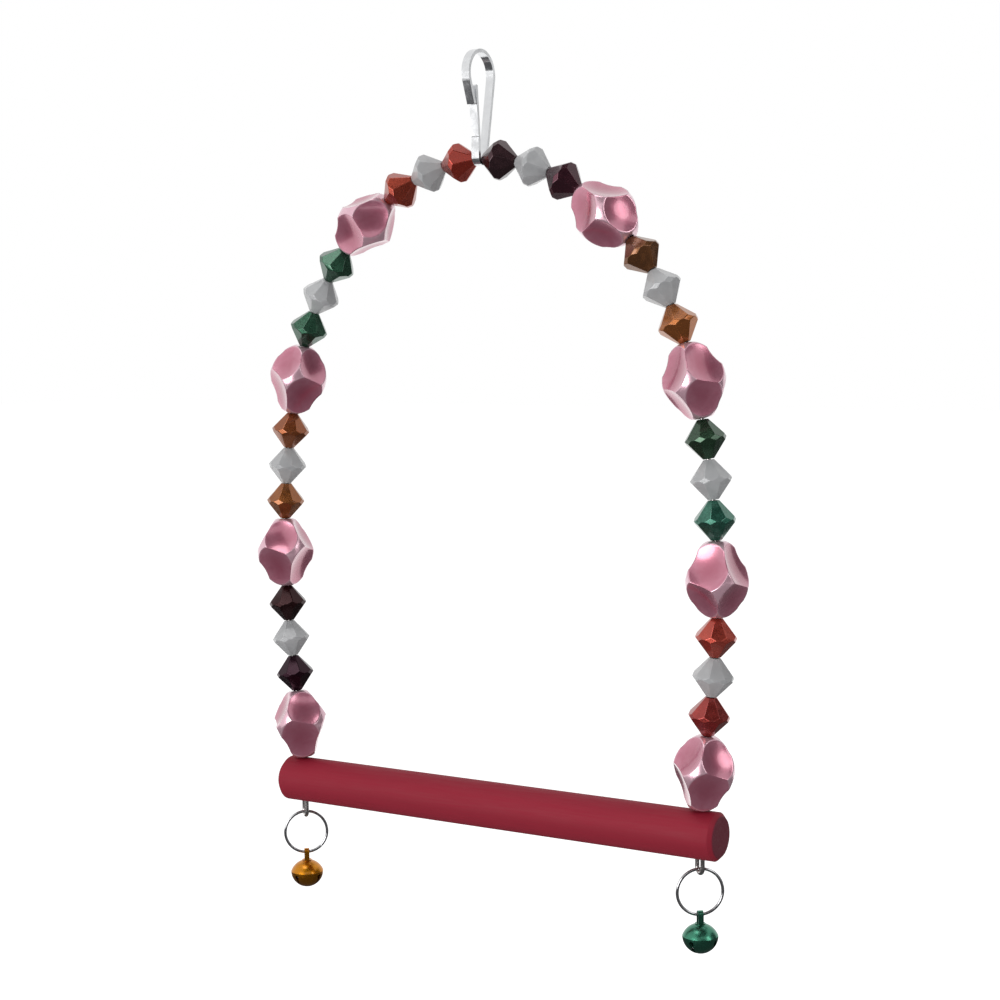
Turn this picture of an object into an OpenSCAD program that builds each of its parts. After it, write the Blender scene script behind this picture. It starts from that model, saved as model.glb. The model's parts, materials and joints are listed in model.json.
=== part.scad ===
// Bird swing: a clip, a beaded arch of wire, a round perch, two rings and two bells.
// Lengths are in millimetres. The origin is where the cage wire bears inside the top of the clip.
// +Z is up, X runs along the perch, -Y is the front.

/* [Clip] */
// Width of the clip strip
strip_w = 1.8; // [1.4:0.1:1.8]
// Thickness of the clip strip
strip_t = 0.75; // [0.6:0.05:0.8]
// Outer radius of the top bend of the clip
top_bend_r = 5.2; // [4.8:0.1:5.6]
// Inner radius of the bottom bend of the clip
low_bend_r = 1.05; // [0.95:0.05:1.2]
// Height between the centres of the two bends
bend_span = 17; // [16:0.5:22]
// Lean of the nose of the clip
nose_lean = 20; // [17:0.5:21]
// Length of the straight nose
nose_l = 4.9; // [4:0.1:5.2]
// Height of the crease above the bottom bend centre
crease_h = 4.2; // [4:0.1:5.5]
// Length of the tongue above the crease
tongue_l = 10.5; // [9.5:0.1:10.8]
// Forward lean of the tongue
tongue_lean = 4.2; // [2:0.1:4.2]

/* [Arch wire] */
// Diameter of the arch wire
wire_d = 0.9; // [0.7:0.05:1]
// Radius of the top bend of the arch
arch_top_r = 41; // [38:1:60]
// Angle of the top bend, each side
arch_top_turn = 32.5; // [30:0.5:34]
// Radius of the shoulder bend
arch_side_r = 61.5; // [58:0.5:66]
// Angle of the shoulder bend
arch_side_turn = 43; // [41:0.5:44]
// Radius of the long leg bend
arch_leg_r = 175; // [165:1:185]
// Angle of the long leg bend
arch_leg_turn = 21; // [19:0.5:22]
// Length of the small bend that brings the leg upright above the perch
upright_l = 10; // [8:0.5:14]
// Width of the eye between the centres of its two strands
eye_w = 2.45; // [2.3:0.05:2.8]
// Drop of the eye below the underside of the perch
eye_drop = 3.2; // [3.1:0.1:5]
// Depth of the tucked end of the wire in the perch
tuck_l = 4; // [2:0.5:6]
// Turn of the eyes seen from above
eye_turn = 52; // [44:1:56]

/* [Beads] */
// Length of a double cone bead
cone_l = 7.75; // [7:0.05:7.8]
// Width of a double cone bead across its small side facets
cone_w = 8.1; // [7:0.1:9]
// Width of the flat ends of a double cone bead
cone_end_w = 2.4; // [2:0.1:2.6]
// Bore of a double cone bead
cone_bore = 1.4; // [1.3:0.05:1.6]
// Length of an oval bead
oval_l = 15.1; // [14:0.1:15.2]
// Width of an oval bead
oval_w = 12.8; // [11.5:0.1:13.5]
// Bore of an oval bead
oval_bore = 1.8; // [1.7:0.05:2]
// Radius of the deep scoops at one end of an oval bead
deep_scoop_r = 16; // [14:0.5:20]
// Distance from the middle of an oval bead to the bottom of a deep scoop
deep_scoop_reach = 4.25; // [4.1:0.05:4.6]
// Radius of the shallow scoops at the other end of an oval bead
shallow_scoop_r = 14; // [12:0.5:18]
// Distance from the middle of an oval bead to the bottom of a shallow scoop
shallow_scoop_reach = 4.9; // [4.7:0.05:5.2]
// Gap between neighbouring beads
bead_gap = 0.35; // [0.3:0.05:0.5]

/* [Perch] */
// Diameter of the perch
perch_d = 10; // [9:0.25:12]
// Length of the perch past each leg of the wire
perch_past = 4.15; // [3:0.05:12]
// Bevel on the ends of the perch
perch_bevel = 0.9; // [0.3:0.1:1.5]

/* [Rings and bells] */
// Outer diameter of a ring
ring_d = 10.2; // [9:0.1:12]
// Diameter of the ring wire
ring_wire_d = 0.65; // [0.5:0.05:0.7]
// Turn of the rings seen from above
ring_turn = 40; // [36:1:46]
// Width of the split in a ring
ring_split = 0.12; // [0.05:0.01:0.3]
// Diameter of a bell
bell_d = 7.4; // [6.8:0.1:9]
// Height of the upper part of a bell above its widest line
bell_top_h = 2.5; // [2:0.1:3]
// Thickness of the bell shell
bell_wall = 0.3; // [0.2:0.05:0.5]
// Width of the slots in a bell
slot_w = 0.5; // [0.3:0.05:0.9]
// Diameter of the round ends of the slots
slot_end_d = 1; // [0.9:0.05:1.4]
// Thickness of the band of the bell loop
loop_t = 0.45; // [0.35:0.05:0.5]
// Width of the band of the bell loop
loop_w = 1.1; // [0.8:0.05:1.2]
// Length of the bell loop from the ring wire centre to the bell
loop_l = 1.85; // [1.7:0.05:3]
// Diameter of the ball in a bell
ball_d = 2.2; // [1.6:0.1:3]

/* [Hidden] */
$fn = 96;
side_count = 8;
groups = 4;
cones_in_group = 3;
scoops_round = 4;
full_turn = 360;
half_turn = full_turn / 2;
right_angle = full_turn / 4;
slant = right_angle / 2;

// clearances, each way from the surface
run_gap = 0.05;
ring_gap = 0.08;
wire_fit = 0.03;
clip_side_gap = 0.1;
ball_gap = 0.05;
// spare radius of the balls and discs that merge the pieces of a bent wire or strip
merge_spare = 0.002;

// clip
half_t = strip_t / 2;
top_mid_r = top_bend_r - half_t;
low_mid_r = low_bend_r + half_t;
top_z = -(top_mid_r - half_t);
low_z = top_z - bend_span;
back_lean = asin((top_mid_r - low_mid_r) / bend_span);
back_l = bend_span * cos(back_lean);
crease_z = low_z + crease_h;
stub_l = crease_h;
tip_r = half_t;

// arch
wire_r = wire_d / 2;
wire_z = low_z - (low_bend_r - wire_r) + run_gap;
degree_arc = PI / half_turn;
top_len = arch_top_r * arch_top_turn * degree_arc;
side_len = arch_side_r * arch_side_turn * degree_arc;
leg_len = arch_leg_r * arch_leg_turn * degree_arc;
turn_1 = arch_top_turn;
turn_2 = turn_1 + arch_side_turn;
turn_3 = turn_2 + arch_leg_turn;
over_turn = turn_3 - right_angle;

// a bead end leans against the clip, so the first bead starts a little further out
lean_allow = (cone_end_w / 2) * (cone_l / 2) / arch_top_r;
first_start = strip_w / 2 + clip_side_gap + lean_allow;
cone_pitch = cone_l + bead_gap;
oval_pitch = oval_l + bead_gap;
group_l = cones_in_group * cone_pitch + oval_pitch;
perch_reach = first_start + groups * group_l;
straight_l = perch_reach - top_len - side_len - leg_len - upright_l;
upright_r = upright_l / (over_turn * degree_arc);
end_3 = top_len + side_len + leg_len;
end_4 = end_3 + straight_l;

centre_1 = [0, wire_z - arch_top_r];
spot_1 = centre_1 + arch_top_r * outward(turn_1);
centre_2 = spot_1 - arch_side_r * outward(turn_1);
spot_2 = centre_2 + arch_side_r * outward(turn_2);
centre_3 = spot_2 - arch_leg_r * outward(turn_2);
spot_3 = centre_3 + arch_leg_r * outward(turn_3);
spot_4 = spot_3 + straight_l * forward(turn_3);
centre_4 = spot_4 + upright_r * outward(turn_3);
leg_end = centre_4 - upright_r * outward(right_angle);
leg_x = leg_end[0];

// perch and eyes
perch_l = 2 * (leg_x + perch_past);
perch_r = perch_d / 2;
perch_z = leg_end[1] - perch_r;
under_z = perch_z - perch_r;
eye_r = eye_w / 2;
eye_z = under_z - eye_drop;
eye_mid_z = eye_z + eye_r;
eye_mid = [leg_x - eye_r * sin(eye_turn), eye_r * cos(eye_turn)];

// rings and bells
ring_wire_r = ring_wire_d / 2;
ring_mid_r = ring_d / 2 - ring_wire_r;
ring_z = eye_z - (ring_mid_r - ring_wire_r - wire_r - ring_gap);
ring_low_z = ring_z - ring_mid_r;
loop_in_r = ring_wire_r + run_gap;
loop_out_r = loop_in_r + loop_t;
foot_h = loop_t / 2;
foot_rim = 0.1;
foot_r = norm([loop_out_r, loop_w / 2]) + foot_rim;
bell_r = bell_d / 2;
bell_top_z = ring_low_z - loop_l;
bell_mid_z = bell_top_z - bell_top_h;
dome_r = (bell_r * bell_r + bell_top_h * bell_top_h) / (2 * bell_top_h);
dome_drop = dome_r - bell_top_h;
seat_r = foot_r + wire_fit;
seat_drop = dome_r - sqrt(dome_r * dome_r - seat_r * seat_r);
ball_z = bell_mid_z - bell_r + bell_wall + ball_gap + ball_d / 2;

// cone bead: the facets would meet in a belt a little wider than the small side facets cut it
belt_share = 1.0457;
flat_share = cos(half_turn / side_count);

// oval bead: two end spheres joined by a barrel of larger radius
oval_end_share = 0.36;
oval_tip_share = 0.53;
oval_end_r = oval_w * oval_end_share;
oval_end_z = oval_l * oval_tip_share - oval_end_r;
oval_half = oval_w / 2;
barrel_r = (oval_half * oval_half + oval_end_z * oval_end_z - oval_end_r * oval_end_r)
  / (2 * (oval_half - oval_end_r));
barrel_shift = barrel_r - oval_half;
barrel_top = oval_end_z * barrel_r / (barrel_r - oval_end_r);
deep_scoop_tilt = 25;
shallow_scoop_tilt = 33;
scoop_skew = 10;

// turn of each bead on the wire, as a share of a full turn, from the top down
cone_turn_shares = [0.09, 0.10, 0.08, 0.10, 0.09, 0.11, 0.09, 0.08, 0.10, 0.09, 0.10, 0.09];
oval_turn_shares = [0.175, 0.395, 0.226, 0.143, 0.296, 0.196, 0.542, 0.118];
// Share of a full turn that each oval bead is tipped end over end before it is strung
oval_over_shares = [0, 0, 0, 0.5, 0.5, 0.5, 0.5, 0.5];

// colours, right leg from the top down and then the left leg
grey = [0.63, 0.63, 0.63];
cone_colours = [
  [0.19, 0.15, 0.16], grey, [0.21, 0.13, 0.15],
  [0.37, 0.24, 0.18], grey, [0.48, 0.30, 0.18],
  [0.18, 0.24, 0.19], grey, [0.20, 0.32, 0.28],
  [0.49, 0.22, 0.20], grey, [0.42, 0.18, 0.17],
  [0.44, 0.18, 0.16], grey, [0.40, 0.18, 0.15],
  [0.20, 0.28, 0.24], grey, [0.19, 0.29, 0.24],
  [0.46, 0.29, 0.21], grey, [0.45, 0.28, 0.19],
  [0.22, 0.13, 0.14], grey, [0.20, 0.13, 0.16]
];

// Directions in the plane of the arch for a wire that has turned down by the angle given
function outward(turn) = [sin(turn), cos(turn)];
function forward(turn) = [cos(turn), -sin(turn)];

// How far the wire has turned down at a distance along it from the top
function turned(s) =
  s < top_len ? s / arch_top_r / degree_arc :
  s < top_len + side_len ? turn_1 + (s - top_len) / arch_side_r / degree_arc :
  s < end_3 ? turn_2 + (s - top_len - side_len) / arch_leg_r / degree_arc :
  s < end_4 ? turn_3 :
  turn_3 - (s - end_4) / upright_r / degree_arc;

// Where the wire is at a distance along it from the top
function spot(s) =
  s < top_len ? centre_1 + arch_top_r * outward(turned(s)) :
  s < top_len + side_len ? centre_2 + arch_side_r * outward(turned(s)) :
  s < end_3 ? centre_3 + arch_leg_r * outward(turned(s)) :
  s < end_4 ? spot_3 + (s - end_3) * forward(turn_3) :
  centre_4 - upright_r * outward(turned(s));

// Half of the bow of the wire inside a bead, so that the bore runs evenly round the wire
function half_bow(s, length) = (length / 4) * (length / 4) / bend_r_at(s);
function bend_r_at(s) = s < top_len ? arch_top_r : s < top_len + side_len ? arch_side_r : arch_leg_r;

// Distance along the wire of the middle of a cone bead and of an oval bead, counted from the top
function cone_mid(k) = first_start + floor(k / cones_in_group) * group_l
  + (k % cones_in_group) * cone_pitch + cone_l / 2;
function oval_mid(k) = first_start + k * group_l + cones_in_group * cone_pitch + oval_l / 2;

// Flat band of the strip between two angles
module bend_band(mid_r, from, to) {
  reach = mid_r * 3;
  mid = (from + to) / 2;
  intersection() {
    difference() {
      circle(r = mid_r + half_t);
      circle(r = mid_r - half_t);
    }
    polygon([
      [0, 0],
      reach * [cos(from), sin(from)],
      reach * [cos((from + mid) / 2), sin((from + mid) / 2)],
      reach * [cos(mid), sin(mid)],
      reach * [cos((to + mid) / 2), sin((to + mid) / 2)],
      reach * [cos(to), sin(to)]
    ]);
  }
}

// Straight flat band that starts at the origin and runs up
module straight_band(length) {
  translate([-half_t, 0])
    square([strip_t, length]);
}

// Disc that merges a bend with the straight next to it
module merge_disc(mid_r, turn) {
  rotate(turn)
    translate([mid_r, 0])
      circle(r = half_t + merge_spare);
}

// Turns a flat outline in Y and Z into a strip of the clip width
module strip() {
  rotate([right_angle, 0, right_angle])
    linear_extrude(height = strip_w, center = true)
      children();
}

module hook_body() {
  color([0.75, 0.76, 0.78])
    difference() {
      strip() {
        translate([0, top_z]) {
          bend_band(top_mid_r, -back_lean, half_turn + nose_lean);
          merge_disc(top_mid_r, half_turn + nose_lean);
          merge_disc(top_mid_r, -back_lean);
          rotate(half_turn + nose_lean)
            translate([top_mid_r, 0])
              straight_band(nose_l);
        }
        translate([0, low_z]) {
          bend_band(low_mid_r, half_turn, full_turn - back_lean);
          merge_disc(low_mid_r, half_turn);
          merge_disc(low_mid_r, -back_lean);
          rotate(-back_lean)
            translate([low_mid_r, 0])
              straight_band(back_l);
          translate([-low_mid_r, 0])
            straight_band(stub_l);
        }
      }
      translate([0, -low_mid_r, crease_z])
        rotate([0, right_angle, 0])
          cylinder(h = strip_w * 2, r = half_t + run_gap, center = true);
    }
}

module hook_tongue() {
  color([0.75, 0.76, 0.78])
    strip()
      translate([-low_mid_r, crease_z])
        rotate(tongue_lean) {
          circle(r = half_t);
          straight_band(tongue_l - tip_r);
          translate([0, tongue_l - tip_r])
            circle(r = tip_r);
        }
}

// Bend of the arch wire in the plane of the arch
module wire_bend(centre, bend_r, from, to) {
  translate([centre[0], 0, centre[1]])
    rotate([right_angle, 0, 0])
      rotate([0, 0, from])
        rotate_extrude(angle = to - from)
          translate([bend_r, 0])
            circle(r = wire_r);
}

// Ball that merges two pieces of the wire
module wire_ball(at) {
  translate([at[0], 0, at[1]])
    sphere(r = wire_r + merge_spare);
}

// Everything of the wire on one side below the top bend
module wire_leg() {
  for (at = [spot_1, spot_2, spot_3, spot_4, leg_end, [leg_x, eye_mid_z]])
    wire_ball(at);
  wire_bend(centre_2, arch_side_r, right_angle - turn_2, right_angle - turn_1);
  wire_bend(centre_3, arch_leg_r, right_angle - turn_3, right_angle - turn_2);
  translate([spot_4[0], 0, spot_4[1]])
    rotate([0, turn_3 - right_angle, 0])
      cylinder(h = straight_l, r = wire_r);
  wire_bend(centre_4, upright_r, half_turn, half_turn - over_turn);
  translate([leg_x, 0, eye_mid_z])
    cylinder(h = leg_end[1] - eye_mid_z, r = wire_r);
}

// Half turn of the eye and the strand tucked back into the perch
module eye() {
  translate([eye_mid[0], eye_mid[1], eye_mid_z])
    rotate([0, 0, eye_turn - right_angle]) {
      rotate([right_angle, 0, 0])
        rotate([0, 0, half_turn])
          rotate_extrude(angle = half_turn)
            translate([eye_r, 0])
              circle(r = wire_r);
      translate([-eye_r, 0, 0]) {
        cylinder(h = under_z - eye_mid_z + tuck_l, r = wire_r);
        sphere(r = wire_r + merge_spare);
      }
    }
}

module arch_wire() {
  color([0.62, 0.60, 0.60]) {
    wire_bend(centre_1, arch_top_r, right_angle - turn_1, right_angle + turn_1);
    wire_leg();
    mirror([1, 0, 0])
      wire_leg();
    for (side = [0, half_turn])
      rotate([0, 0, side])
        eye();
  }
}

module perch() {
  hole_r = wire_r + wire_fit;
  barrel_l = perch_l - 2 * perch_bevel;
  color([0.55, 0.16, 0.22])
    difference() {
      translate([0, 0, perch_z])
        rotate([0, right_angle, 0]) {
          cylinder(h = barrel_l, r = perch_r, center = true);
          for (end = [0, half_turn])
            rotate([end, 0, 0])
              translate([0, 0, barrel_l / 2])
                cylinder(h = perch_bevel, r1 = perch_r, r2 = perch_r - perch_bevel);
        }
      for (side = [0, half_turn])
        rotate([0, 0, side]) {
          translate([leg_x, 0, perch_z])
            cylinder(h = perch_d * 2, r = hole_r, center = true);
          translate([eye_mid[0], eye_mid[1], 0])
            rotate([0, 0, eye_turn - right_angle])
              translate([-eye_r, 0, under_z - tuck_l])
                cylinder(h = tuck_l * 2 + wire_fit, r = hole_r);
        }
    }
}

// Puts a bead on the wire, its own +Z up along the wire
module on_wire(side, s, length, spin) {
  here = spot(s) - half_bow(s, length) * outward(turned(s));
  translate([side * here[0], 0, here[1]])
    rotate([0, side * (turned(s) - right_angle), 0])
      rotate([0, 0, spin])
        children();
}

// Outline of a cone bead through the middle of two opposite facets
module cone_outline() {
  belt = cone_w / 2 * belt_share;
  end = cone_end_w / 2 * flat_share;
  polygon([
    [end, cone_l / 2], [belt, 0], [end, -cone_l / 2],
    [-end, -cone_l / 2], [-belt, 0], [-end, cone_l / 2]
  ]);
}

module cone_bead() {
  step = full_turn / side_count;
  difference() {
    intersection() {
      cone_facets(0);
      cone_facets(step);
      cone_facets(2 * step);
      cone_facets(3 * step);
      cylinder(h = cone_l, r = cone_w / 2 / flat_share, center = true, $fn = side_count);
    }
    cylinder(h = cone_l * 2, r = cone_bore / 2, center = true);
  }
}

// Two opposite pairs of facets of a cone bead
module cone_facets(turn) {
  rotate([0, 0, turn])
    rotate([right_angle, 0, 0])
      linear_extrude(height = cone_w * 2, center = true)
        cone_outline();
}

// Ball that cuts a scoop, tilted up from the middle plane of the bead
module scoop(ball_r, reach, tilt) {
  rotate([0, -tilt, 0])
    translate([reach + ball_r, 0, 0])
      sphere(r = ball_r);
}

// Deep scoops at the upper end and shallow ones at the lower end, skewed apart so that the ridges swirl
module oval_bead() {
  difference() {
    rotate_extrude()
      intersection() {
        union() {
          intersection() {
            translate([-barrel_shift, 0])
              circle(r = barrel_r);
            translate([0, -barrel_top])
              square([oval_w, barrel_top * 2]);
          }
          for (end = [-1, 1])
            translate([0, end * oval_end_z])
              circle(r = oval_end_r + merge_spare);
        }
        translate([0, -oval_l / 2])
          square([oval_w, oval_l]);
      }
    for (k = [0 : scoops_round - 1]) {
      rotate([0, 0, k * full_turn / scoops_round + scoop_skew])
        scoop(deep_scoop_r, deep_scoop_reach, deep_scoop_tilt);
      rotate([0, 0, k * full_turn / scoops_round - scoop_skew])
        scoop(shallow_scoop_r, shallow_scoop_reach, -shallow_scoop_tilt);
    }
    cylinder(h = oval_l * 2, r = oval_bore / 2, center = true);
  }
}

// Cone beads count from the top down, the right leg first and then the left leg
module cone_at(k) {
  per_leg = groups * cones_in_group;
  side = k < per_leg ? 1 : -1;
  place = k % per_leg;
  color(cone_colours[k])
    on_wire(side, cone_mid(place), cone_l, full_turn * cone_turn_shares[place])
      cone_bead();
}

module oval_at(k) {
  side = k < groups ? 1 : -1;
  color([0.64, 0.42, 0.48])
    on_wire(side, oval_mid(k % groups), oval_l, full_turn * oval_turn_shares[k])
      rotate([full_turn * oval_over_shares[k], 0, 0])
        oval_bead();
}

// Puts a ring or a bell below its eye: 1 is the right one and -1 the left one
module under_eye(side) {
  translate([side * eye_mid[0], side * eye_mid[1], 0])
    rotate([0, 0, ring_turn])
      children();
}

module ring(side) {
  color([0.55, 0.55, 0.55])
    under_eye(side)
      translate([0, 0, ring_z])
        rotate([right_angle, 0, 0])
          difference() {
            rotate_extrude()
              translate([ring_mid_r, 0])
                circle(r = ring_wire_r);
            rotate([0, 0, side * slant])
              translate([ring_mid_r, 0, 0])
                cube([ring_wire_d * 2, ring_split, ring_wire_d * 2], center = true);
          }
}

// Outline of the bell, closed to the axis: a round bowl under a flatter dome
module bell_outline(inset) {
  intersection() {
    union() {
      intersection() {
        circle(r = bell_r - inset);
        translate([0, -bell_d])
          square([bell_d, bell_d]);
      }
      intersection() {
        translate([0, -dome_drop])
          circle(r = dome_r - inset);
        square([bell_d, bell_top_h - seat_drop - inset]);
      }
    }
    translate([0, -bell_d])
      square([bell_d - inset, bell_d * 2]);
  }
}

module bell_shell(side) {
  slot_h = bell_d;
  end_h = -bell_d / 8;
  under_eye(side)
    translate([0, 0, bell_mid_z])
      difference() {
        rotate_extrude()
          difference() {
            bell_outline(0);
            bell_outline(bell_wall);
          }
        for (way = [-1, 1])
          rotate([0, 0, way * slant]) {
            translate([0, 0, end_h - slot_h / 2])
              cube([bell_d * 2, slot_w, slot_h], center = true);
            translate([0, 0, end_h])
              rotate([0, right_angle, 0])
                cylinder(h = bell_d * 2, r = slot_end_d / 2, center = true);
          }
      }
}

// Band bent over the ring wire, on a round foot that is set in the top of the shell
module bell_loop(side) {
  leg_h = loop_l - foot_h + seat_drop;
  under_eye(side)
    translate([0, 0, ring_low_z]) {
      rotate([right_angle, 0, right_angle])
        linear_extrude(height = loop_w, center = true)
          difference() {
            union() {
              circle(r = loop_out_r);
              translate([-loop_out_r, -leg_h])
                square([loop_out_r * 2, leg_h]);
            }
            circle(r = loop_in_r);
            translate([-loop_in_r, -leg_h])
              square([loop_in_r * 2, leg_h]);
          }
      translate([0, 0, -leg_h - foot_h])
        cylinder(h = foot_h, r = foot_r);
    }
}

module bell_ball(side) {
  color([0.6, 0.6, 0.62])
    under_eye(side)
      translate([0, 0, ball_z])
        sphere(r = ball_d / 2);
}

gold = [0.72, 0.50, 0.12];
green = [0.10, 0.35, 0.22];

hook_body();
hook_tongue();
arch_wire();
perch();
oval_at(0);  // oval_bead_1
oval_at(1);  // oval_bead_2
oval_at(2);  // oval_bead_3
oval_at(3);  // oval_bead_4
oval_at(4);  // oval_bead_5
oval_at(5);  // oval_bead_6
oval_at(6);  // oval_bead_7
oval_at(7);  // oval_bead_8
cone_at(0);  // cone_bead_01
cone_at(1);  // cone_bead_02
cone_at(2);  // cone_bead_03
cone_at(3);  // cone_bead_04
cone_at(4);  // cone_bead_05
cone_at(5);  // cone_bead_06
cone_at(6);  // cone_bead_07
cone_at(7);  // cone_bead_08
cone_at(8);  // cone_bead_09
cone_at(9);  // cone_bead_10
cone_at(10);  // cone_bead_11
cone_at(11);  // cone_bead_12
cone_at(12);  // cone_bead_13
cone_at(13);  // cone_bead_14
cone_at(14);  // cone_bead_15
cone_at(15);  // cone_bead_16
cone_at(16);  // cone_bead_17
cone_at(17);  // cone_bead_18
cone_at(18);  // cone_bead_19
cone_at(19);  // cone_bead_20
cone_at(20);  // cone_bead_21
cone_at(21);  // cone_bead_22
cone_at(22);  // cone_bead_23
cone_at(23);  // cone_bead_24
ring(-1);  // ring_left
ring(1);  // ring_right
color(gold) bell_shell(-1);  // bell_shell_left
color(green) bell_shell(1);  // bell_shell_right
color(gold) bell_loop(-1);  // bell_loop_left
color(green) bell_loop(1);  // bell_loop_right
bell_ball(-1);  // bell_ball_left
bell_ball(1);  // bell_ball_right
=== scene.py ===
import json
import math

import bmesh
import bpy
from mathutils import Matrix, Vector


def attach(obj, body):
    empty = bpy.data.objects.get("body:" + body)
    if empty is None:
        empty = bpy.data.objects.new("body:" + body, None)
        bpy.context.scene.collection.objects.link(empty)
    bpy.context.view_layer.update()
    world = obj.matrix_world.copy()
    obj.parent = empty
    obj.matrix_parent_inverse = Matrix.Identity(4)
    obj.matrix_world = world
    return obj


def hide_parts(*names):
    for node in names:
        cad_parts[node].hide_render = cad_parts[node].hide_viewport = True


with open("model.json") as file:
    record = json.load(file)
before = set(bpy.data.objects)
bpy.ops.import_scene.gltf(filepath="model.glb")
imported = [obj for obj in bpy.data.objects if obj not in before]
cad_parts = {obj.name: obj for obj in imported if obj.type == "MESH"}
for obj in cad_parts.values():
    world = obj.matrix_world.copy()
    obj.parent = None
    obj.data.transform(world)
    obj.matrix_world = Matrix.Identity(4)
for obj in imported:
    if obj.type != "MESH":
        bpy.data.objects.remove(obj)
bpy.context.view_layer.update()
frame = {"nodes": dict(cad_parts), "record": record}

mm = 0.001
nodes = frame["nodes"]
bodyOfNode = {node: body for body, members in frame["record"]["behaviour"]["bodies"].items()
              for node in members}


def hexColour(code):
    # sRGB hex to the linear colour that the shaders work in
    channels = [int(code[i:i + 2], 16) / 255 for i in (1, 3, 5)]
    linear = [c / 12.92 if c <= 0.04045 else ((c + 0.055) / 1.055) ** 2.4 for c in channels]
    return (*linear, 1.0)


def addNode(tree, kind, settings=None, inputs=None):
    # settings are the node's own options; an input is a number, a colour or another node's socket
    made = tree.nodes.new(kind)
    for name, value in (settings or {}).items():
        setattr(made, name, value)
    for name, value in (inputs or {}).items():
        if isinstance(value, bpy.types.NodeSocket):
            tree.links.new(value, made.inputs[name])
        else:
            made.inputs[name].default_value = value
    return made


# a mix node has sockets of one name for each kind of value, so they are told apart by place
valueA, valueB = 2, 3
colourA, colourB, mixedColour = 6, 7, 2
# nearly all values of a noise texture lie between these
noiseLow, noiseHigh = 0.3, 0.7


def newMaterial(name):
    material = bpy.data.materials.new(name)
    material.use_nodes = True
    tree = material.node_tree
    tree.nodes.clear()
    surface = addNode(tree, "ShaderNodeBsdfPrincipled")
    addNode(tree, "ShaderNodeOutputMaterial", inputs={"Surface": surface.outputs["BSDF"]})
    place = addNode(tree, "ShaderNodeTexCoord").outputs["Object"]
    return material, tree, surface, place


def dress(piece, material):
    piece.data.materials.clear()
    piece.data.materials.append(material)


# fitted to the photo; turns in degrees
cameraSettings = {
    "azimuth": 31.507, "elevation": 5.459, "roll": -0.879,
    "distance": 402.63 * mm, "target": (3.659 * mm, 0.0, -93.526 * mm),
    "lens": 68.34, "sensor": 36.0,
}


def makeCamera(settings):
    a, e, r = (math.radians(settings[k]) for k in ("azimuth", "elevation", "roll"))
    back = Vector((math.sin(a) * math.cos(e), -math.cos(a) * math.cos(e), math.sin(e)))
    right = Vector((math.cos(a), math.sin(a), 0))
    up = back.cross(right)
    rolledRight = math.cos(r) * right + math.sin(r) * up
    rolledUp = -math.sin(r) * right + math.cos(r) * up
    data = bpy.data.cameras.new("camera")
    data.sensor_width = settings["sensor"]
    data.lens = settings["lens"]
    data.clip_start = 0.01
    camera = bpy.data.objects.new("camera", data)
    turn = Matrix((rolledRight, rolledUp, back)).transposed().to_4x4()
    spot = Vector(settings["target"]) + settings["distance"] * back
    camera.matrix_world = Matrix.Translation(spot) @ turn
    bpy.context.scene.collection.objects.link(camera)
    bpy.context.scene.camera = camera
    return back, right


back, right = makeCamera(cameraSettings)
print("camera placed")


studio = {
    "floorLevel": -233.5 * mm, "floorSize": 6.0, "floorColour": "#e6e6e6", "floorLift": 0.72,
    "worldLight": 0.42, "aim": (0, 0, -93.5 * mm),
    # steps to the right, toward the camera and up in metres, then size and power
    "lamps": {
        "key lamp": ((-0.62, 0.74, 0.10), 0.58, 4.4),
        "fill lamp": ((0.60, 0.42, 0.30), 0.34, 0.8),
        "top lamp": ((-0.20, 0.10, 0.75), 0.40, 1.3),
    },
    # grey cards, seen only in reflections: steps as above, then width and height
    "cards": {
        "front card": ((0.30, 1.05, 0.0), 1.5, 1.3),
        "right card": ((0.95, 0.05, 0.0), 1.0, 1.2),
        "top card": ((0.10, 0.35, 0.95), 1.3, 1.0),
        "low card": ((0.0, 0.30, -0.136), 1.2, 0.9),
    },
    "cardColour": "#6a6a6c",
}


def placeToward(obj, steps, aim):
    toward = Vector((back.x, back.y, 0)).normalized()
    spot = Vector(aim) + steps[0] * right + steps[1] * toward + steps[2] * Vector((0, 0, 1))
    obj.location = spot
    obj.rotation_euler = (Vector(aim) - spot).to_track_quat("-Z", "Y").to_euler()


def seenByView(tree):
    # 1 for light that reaches the view straight, by a mirror or through glass; 0 for light that only lights
    path = addNode(tree, "ShaderNodeLightPath")
    seen = addNode(tree, "ShaderNodeMath", {"operation": "MAXIMUM"},
                   {0: path.outputs["Is Camera Ray"], 1: path.outputs["Is Glossy Ray"]})
    return addNode(tree, "ShaderNodeMath", {"operation": "MAXIMUM"},
                   {0: seen.outputs[0], 1: path.outputs["Is Transmission Ray"]}).outputs[0]


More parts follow.
